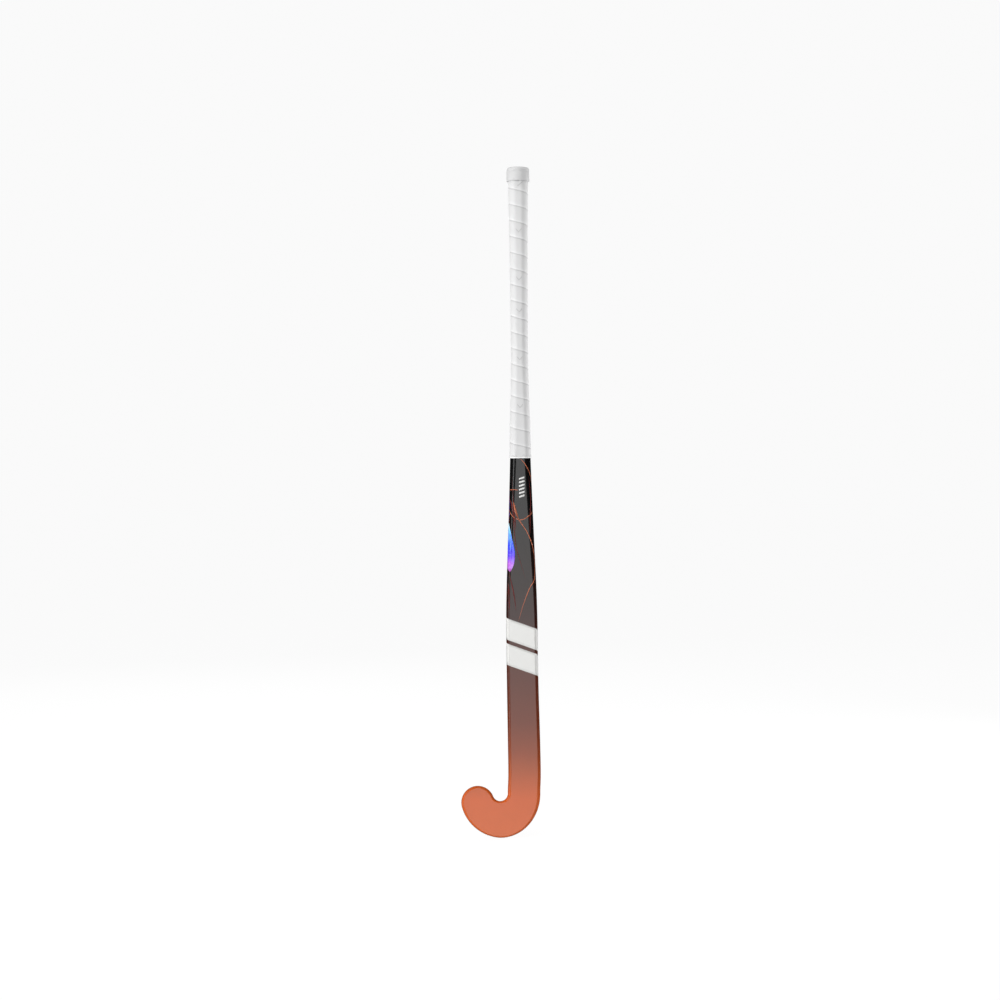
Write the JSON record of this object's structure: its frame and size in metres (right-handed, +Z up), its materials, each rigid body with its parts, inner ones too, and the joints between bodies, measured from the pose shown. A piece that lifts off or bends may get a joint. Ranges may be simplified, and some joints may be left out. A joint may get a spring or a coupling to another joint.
{
  "type": "field hockey stick",
  "caption": "Right-handed field hockey stick: bowed composite shaft with a flat playing face and a short hooked head, a spiral-wrapped white grip and a round rubber end cap.",
  "frame": {"origin": "under the middle of the stick's outline, level with the lowest point of the head", "axes": "+Z up the stick from the head to the butt; -X towards the toe of the hook; -Y the way the flat playing face looks"},
  "size_m": [0.1106, 0.0495, 0.9272],
  "materials": {
    "laminate": "clear gloss lacquer, black at the grip and shading to bright orange at the head",
    "inner_laminate": "bare carbon and glass laminate",
    "foam": "rigid foam",
    "plug": "dense rigid foam",
    "adhesive": "double-sided tape",
    "grip": "soft matt cushioned polyurethane, embossed",
    "ring": "smooth satin",
    "cap": "satin rubber"
  },
  "bodies": {
    "root": {"outer_shell": "laminate", "head_core": "foam", "toe_side_inner_tube": "inner_laminate", "heel_side_inner_tube": "inner_laminate", "toe_side_foam_core": "foam", "heel_side_foam_core": "foam", "handle_plug": "plug", "grip_adhesive": "adhesive", "grip_wrap": "grip", "finishing_ring": "ring", "end_cap": "cap"}
  },
  "joints": []
}
